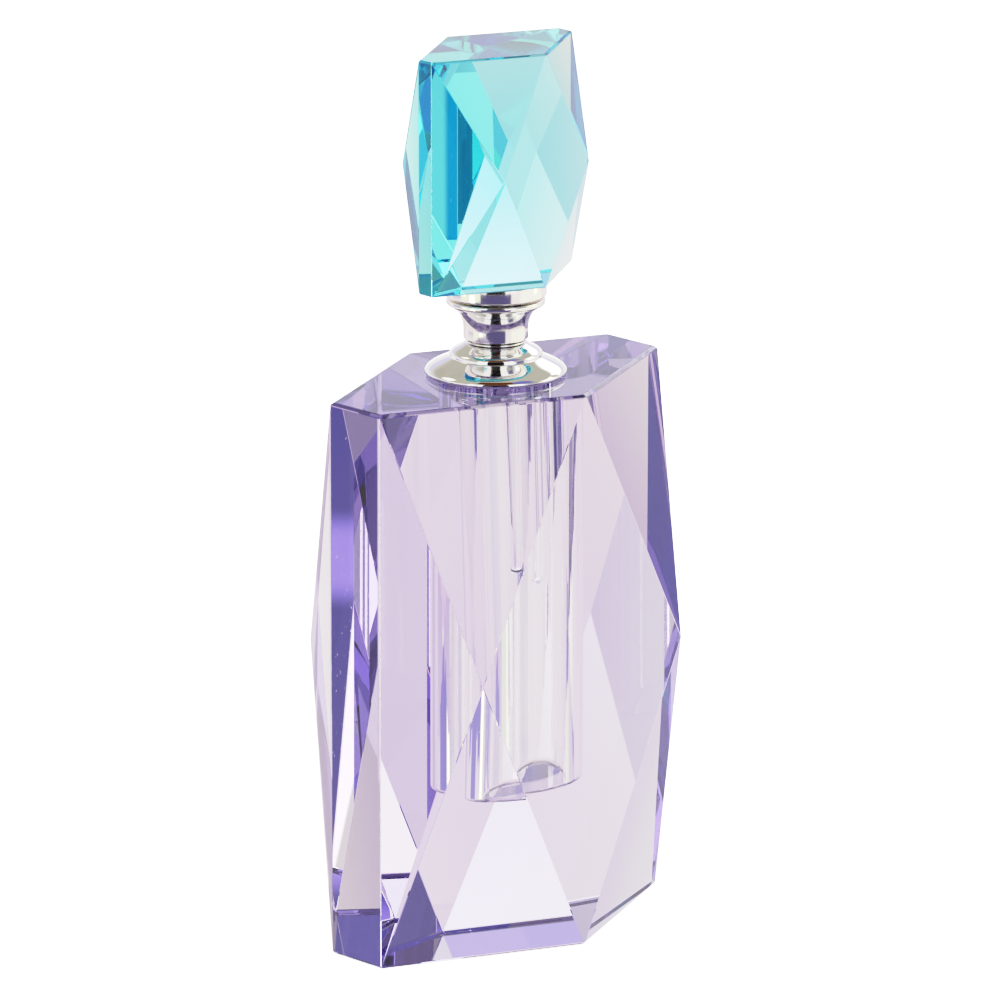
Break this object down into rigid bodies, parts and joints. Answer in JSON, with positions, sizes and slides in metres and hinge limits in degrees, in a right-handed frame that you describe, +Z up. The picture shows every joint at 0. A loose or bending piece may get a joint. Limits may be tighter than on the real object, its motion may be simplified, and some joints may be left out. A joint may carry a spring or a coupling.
{
  "type": "perfume bottle",
  "caption": "Faceted crystal perfume bottle with a chrome screw collar, a faceted crystal stopper and a glass dabber rod.",
  "frame": {"origin": "centre of the bottle's flat base, on the axis of the neck", "axes": "+Z up along the neck axis, -Y out of the front face, +X towards the girdle corner on the right of the front"},
  "size_m": [0.0634, 0.0518, 0.1445],
  "materials": {
    "lilac_crystal": "polished lilac lead crystal, clear, deeper violet where light travels far inside",
    "aqua_crystal": "polished aqua lead crystal, clear, teal where light travels far inside",
    "clear_glass": "fire-polished clear glass rod",
    "chrome": "mirror-polished chrome plate",
    "nickel": "plain nickel-plated turned metal",
    "white_plastic": "natural white polythene, satin"
  },
  "bodies": {
    "bottle": {"bottle_block": "lilac_crystal", "bore_plug": "nickel", "neck_flange": "chrome", "neck_spigot": "nickel"},
    "seal": {"seal_washer": "white_plastic"},
    "dabber": {"rod_holder": "white_plastic", "dabber_rod": "clear_glass"},
    "stopper": {"cap_skirt": "chrome", "cap_ring": "chrome", "stopper_seat": "chrome", "stopper_crystal": "aqua_crystal"}
  },
  "joints": [
    {"name": "stopper_lift_off", "type": "slide", "parent": "bottle", "child": "seal", "axis": [0, 0, 1], "range_m": [0, 0.05]},
    {"name": "thread_climb", "type": "slide", "parent": "seal", "child": "dabber", "axis": [0, 0, 1], "range_m": [0, 0.003]},
    {"name": "stopper_turn", "type": "hinge", "parent": "dabber", "child": "stopper", "pos_m": [0, 0, 0.099], "axis": [0, 0, 1], "range_deg": [0, 720]}
  ],
  "couplings": [
    {"joint": "thread_climb", "follows": "stopper_turn", "m_per_rad": 0.0002387}
  ]
}
